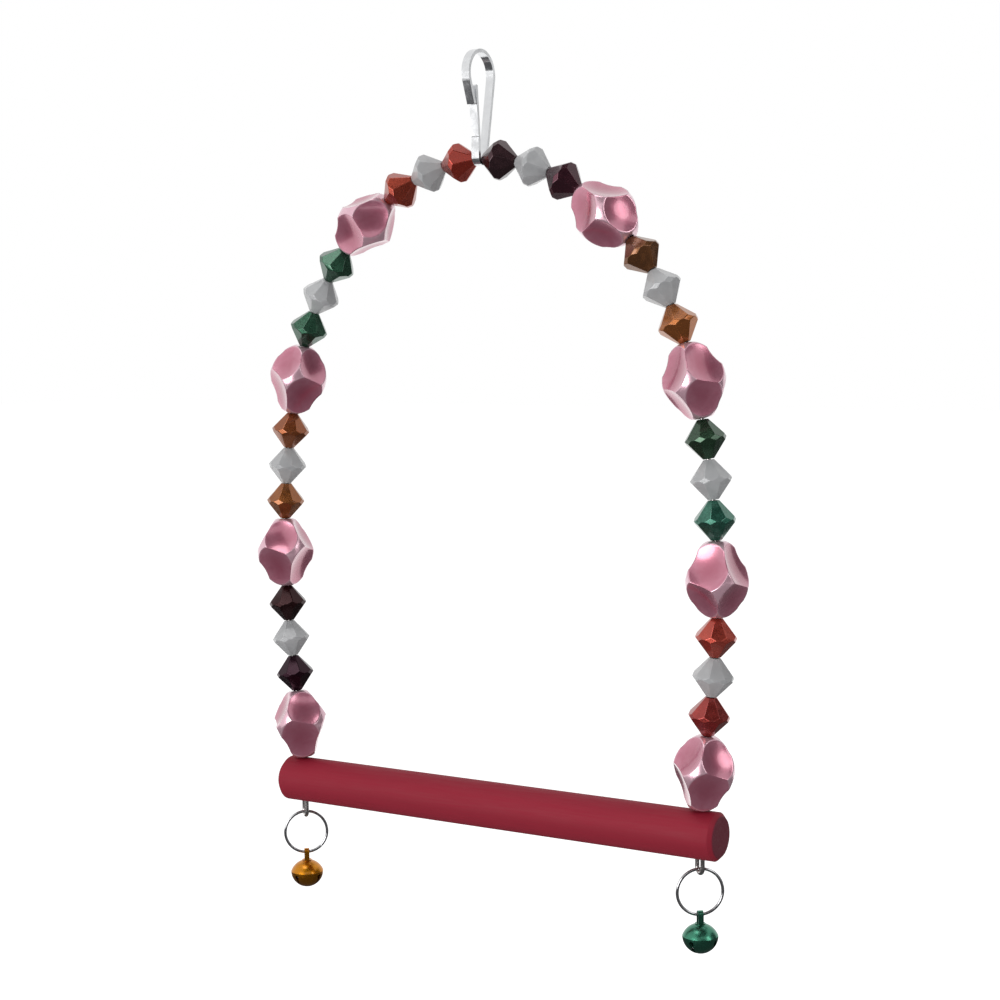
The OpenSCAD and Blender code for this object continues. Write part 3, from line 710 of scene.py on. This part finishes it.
def makeScoopedTree(settings):
    # a round-ended barrel whose surface is pulled in wherever a scoop reaches it, and a bore along it
    tree = bpy.data.node_groups.new("scooped bead", "GeometryNodeTree")
    face = tree.interface
    face.new_socket("Geometry", in_out="INPUT", socket_type="NodeSocketGeometry")
    sizes = {"Length": settings["length"], "Width": settings["width"], "Bore": settings["bore"],
             "End share": settings["endShare"], "Tip share": settings["tipShare"],
             "Softness": settings["softness"]}
    for kind in ("deep", "shallow"):
        radius, tilt, nearest = settings[kind + "Scoop"]
        sizes.update({kind + " radius": radius, kind + " tilt": math.radians(tilt),
                      kind + " nearest": nearest})
    for name, value in sizes.items():
        face.new_socket(name, in_out="INPUT", socket_type="NodeSocketFloat").default_value = value
    face.new_socket("Material", in_out="INPUT", socket_type="NodeSocketMaterial")
    face.new_socket("Geometry", in_out="OUTPUT", socket_type="NodeSocketGeometry")
    given = addNode(tree, "NodeGroupInput").outputs
    found = {name: given[name] for name in sizes}

    grid = addNode(tree, "GeometryNodeMeshGrid", inputs={
        "Size X": 1.0, "Size Y": 1.0, "Vertices X": settings["around"] + 1,
        "Vertices Y": settings["along"]})
    spread = addNode(tree, "ShaderNodeSeparateXYZ", inputs={"Vector": grid.outputs["UV Map"]})
    found["grid across"], found["grid along"] = spread.outputs["X"], spread.outputs["Y"]
    # deep scoops at the upper end and shallow ones at the lower, each end turned a little its own way
    steps = barrelSteps + wayRoundSteps + plainReachSteps
    for end, kind in ((1.0, "deep"), (-1.0, "shallow")):
        for place in range(settings["scoopsRound"]):
            facing = place * 2 * math.pi / settings["scoopsRound"] + end * math.radians(settings["skew"])
            steps += [(size, "ADD", kind + " " + size, 0.0) for size in ("radius", "tilt", "nearest")]
            steps += [("facing", "ADD", facing, 0.0), ("end", "ADD", end, 0.0)] + scoopSteps
    # a step is the name of its result, what is done, and the results, inputs or numbers that it is done to
    for result, operation, *parts in steps + lastSteps:
        values = [found[part] if isinstance(part, str) else part for part in parts]
        found[result] = addNode(tree, "ShaderNodeMath", {"operation": operation},
                                dict(enumerate(values))).outputs[0]
    way = addNode(tree, "ShaderNodeCombineXYZ", inputs={
        "X": found["way x"], "Y": found["way y"], "Z": found["upright"]}).outputs[0]
    spot = addNode(tree, "ShaderNodeVectorMath", {"operation": "SCALE"},
                   {0: way, "Scale": found["reach"]}).outputs[0]
    formed = addNode(tree, "GeometryNodeSetPosition",
                     inputs={"Geometry": grid.outputs["Mesh"], "Position": spot}).outputs[0]
    marked = addNode(tree, "GeometryNodeStoreNamedAttribute", {"data_type": "FLOAT", "domain": "POINT"}, {
        "Geometry": formed, "Name": "scoopDepth", "Value": found["depth"]}).outputs[0]
    tube = addNode(tree, "GeometryNodeMeshCylinder", {"fill_type": "NONE"}, {
        "Vertices": settings["around"], "Radius": found["tube radius"],
        "Depth": found["tube length"]}).outputs["Mesh"]
    inside = addNode(tree, "GeometryNodeFlipFaces", inputs={"Mesh": tube}).outputs[0]
    joined = addNode(tree, "GeometryNodeJoinGeometry")
    tree.links.new(marked, joined.inputs[0])
    tree.links.new(inside, joined.inputs[0])
    welded = addNode(tree, "GeometryNodeMergeByDistance",
                     inputs={"Geometry": joined.outputs[0], "Distance": settings["weld"]}).outputs[0]
    smooth = addNode(tree, "GeometryNodeSetShadeSmooth", inputs={"Geometry": welded}).outputs[0]
    metres = addNode(tree, "GeometryNodeTransform",
                     inputs={"Geometry": smooth, "Scale": (mm, mm, mm)}).outputs[0]
    real = addNode(tree, "GeometryNodeRealizeInstances", inputs={"Geometry": metres}).outputs[0]
    painted = addNode(tree, "GeometryNodeSetMaterial",
                      inputs={"Geometry": real, "Material": given["Material"]}).outputs[0]
    addNode(tree, "NodeGroupOutput", inputs={"Geometry": painted})
    return tree


def makePearl(settings):
    # Pink pearl lacquer on a moulded bead: a milky skin, with painted shade of deeper rose in the scoops and
    # a painted highlight of pale pink on the lands between them
    material, tree, surface, place = newMaterial("pink pearl lacquer on acrylic")
    depth = addNode(tree, "ShaderNodeAttribute", {"attribute_name": "scoopDepth"}).outputs["Fac"]
    swirl = addNode(tree, "ShaderNodeTexNoise", inputs={
        "Vector": place, "Scale": 1 / settings["swirlSize"], "Detail": 3.0,
        "Distortion": 1.2}).outputs["Fac"]
    # painted shade: the scoops are darkened toward the deep rose the deeper they go
    paintedScoopShade = addNode(tree, "ShaderNodeMapRange", inputs={
        "Value": depth, "From Min": settings["highlightToShadeDepth"], "From Max": settings["fullShadeDepth"],
        "To Max": settings["mostPaintedShade"]}).outputs["Result"]
    # painted highlight: the lands that the scoops leave between them are painted pale pink
    paintedLandHighlight = addNode(tree, "ShaderNodeMapRange", inputs={
        "Value": depth, "From Min": settings["highlightToShadeDepth"], "From Max": 0.0}).outputs["Result"]
    # the deep rose is painted shade; the middle and the pale are the lacquer's own swirl
    deep, middle, pale = [hexColour(colour) for colour in settings["colours"]]
    lacquer = addNode(tree, "ShaderNodeMix", {"data_type": "RGBA"},
                      {"Factor": swirl, colourA: middle, colourB: pale}).outputs[mixedColour]
    tinted = addNode(tree, "ShaderNodeMix", {"data_type": "RGBA"},
                     {"Factor": paintedScoopShade, colourA: lacquer, colourB: deep}).outputs[mixedColour]
    tint = addNode(tree, "ShaderNodeMix", {"data_type": "RGBA"}, {
        "Factor": paintedLandHighlight, colourA: tinted, colourB: hexColour(settings["landHighlightColour"])}).outputs[mixedColour]
    bump = addNode(tree, "ShaderNodeBump", inputs={
        "Strength": settings["relief"], "Distance": settings["reliefDepth"], "Height": swirl})
    surface.inputs["Metallic"].default_value = settings["metal"]
    surface.inputs["Roughness"].default_value = settings["roughness"]
    surface.inputs["Coat Weight"].default_value = settings["coat"]
    surface.inputs["Coat Roughness"].default_value = settings["coatRoughness"]
    tree.links.new(tint, surface.inputs["Base Color"])
    tree.links.new(bump.outputs["Normal"], surface.inputs["Normal"])
    return material


pearl = makePearl(ovalBeads)
scoopedTree = makeScoopedTree(ovalBeads)


def makeOvalBead(name, node, side, group, share, over, path):
    mesh = bpy.data.meshes.new(name)
    bead = bpy.data.objects.new(name, mesh)
    bpy.context.scene.collection.objects.link(bead)
    maker = bead.modifiers.new("scoops", "NODES")
    maker.node_group = scoopedTree
    for socket in scoopedTree.interface.items_tree:
        if socket.item_type == "SOCKET" and socket.in_out == "INPUT" and socket.name == "Material":
            maker[socket.identifier] = pearl
    finished = bpy.data.meshes.new_from_object(bead.evaluated_get(bpy.context.evaluated_depsgraph_get()))
    bead.modifiers.clear()
    distance = groupStart(group, path) + path["conesInGroup"] * path["conePitch"] + path["ovalLength"] / 2
    spot, turn, radius = alongArch(distance, path)
    # a straight bead on a bent wire sits inward by half of the bend's rise over its length
    rise = path["ovalLength"] ** 2 / 8 / radius
    spot = spot - rise / 2 * outward(turn)
    here = Matrix.Translation((side * spot.x * mm, 0, spot.y * mm))
    lean = Matrix.Rotation(math.radians(side * (turn - 90)), 4, "Y")
    spin = Matrix.Rotation(2 * math.pi * share, 4, "Z")
    tip = Matrix.Rotation(2 * math.pi * over, 4, "X")
    finished.transform(here @ lean @ spin @ tip)
    bead.data = finished
    dress(bead, pearl)
    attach(bead, bodyOfNode[node])
    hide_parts(node)
    return bead


for number, (share, over) in enumerate(zip(ovalBeads["turnShares"], ovalBeads["overShares"])):
    leg, group = divmod(number, archPath["groupsOnLeg"])
    makeOvalBead("scooped_bead_%d" % (number + 1), "oval_bead_%d" % (number + 1),
                 -1 if leg else 1, group, share, over, archPath)
print("scooped beads made")
